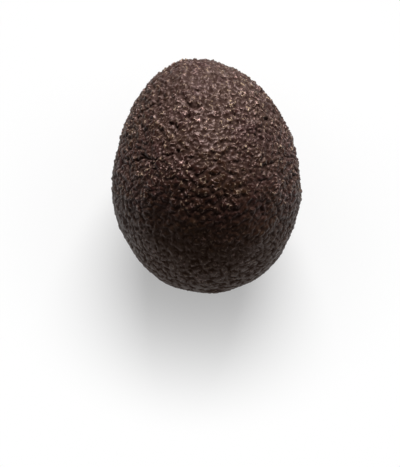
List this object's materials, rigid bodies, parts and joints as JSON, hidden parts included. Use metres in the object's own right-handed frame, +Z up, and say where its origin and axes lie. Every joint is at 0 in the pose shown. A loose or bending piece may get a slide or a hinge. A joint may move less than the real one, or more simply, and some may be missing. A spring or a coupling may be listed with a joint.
{
  "type": "avocado",
  "caption": "Whole ripe avocado with dark pebbled skin and the stub of its stem, lying on its side on a small flat.",
  "frame": {"origin": "middle of the small flat that the fruit rests on, level with the table", "axes": "+Y towards the stem end, +Z up, +X to the right when the stem end points away"},
  "size_m": [0.0683, 0.0851, 0.0666],
  "materials": {
    "skin": "thin leathery rind, pebbled and finely wrinkled all over, dark purple-brown with a low natural shine",
    "stem_wood": "dry corky wood of the cut stem, cracked across its face, matt"
  },
  "bodies": {
    "root": {"fruit": "skin", "stem_stub": "stem_wood"}
  },
  "joints": []
}
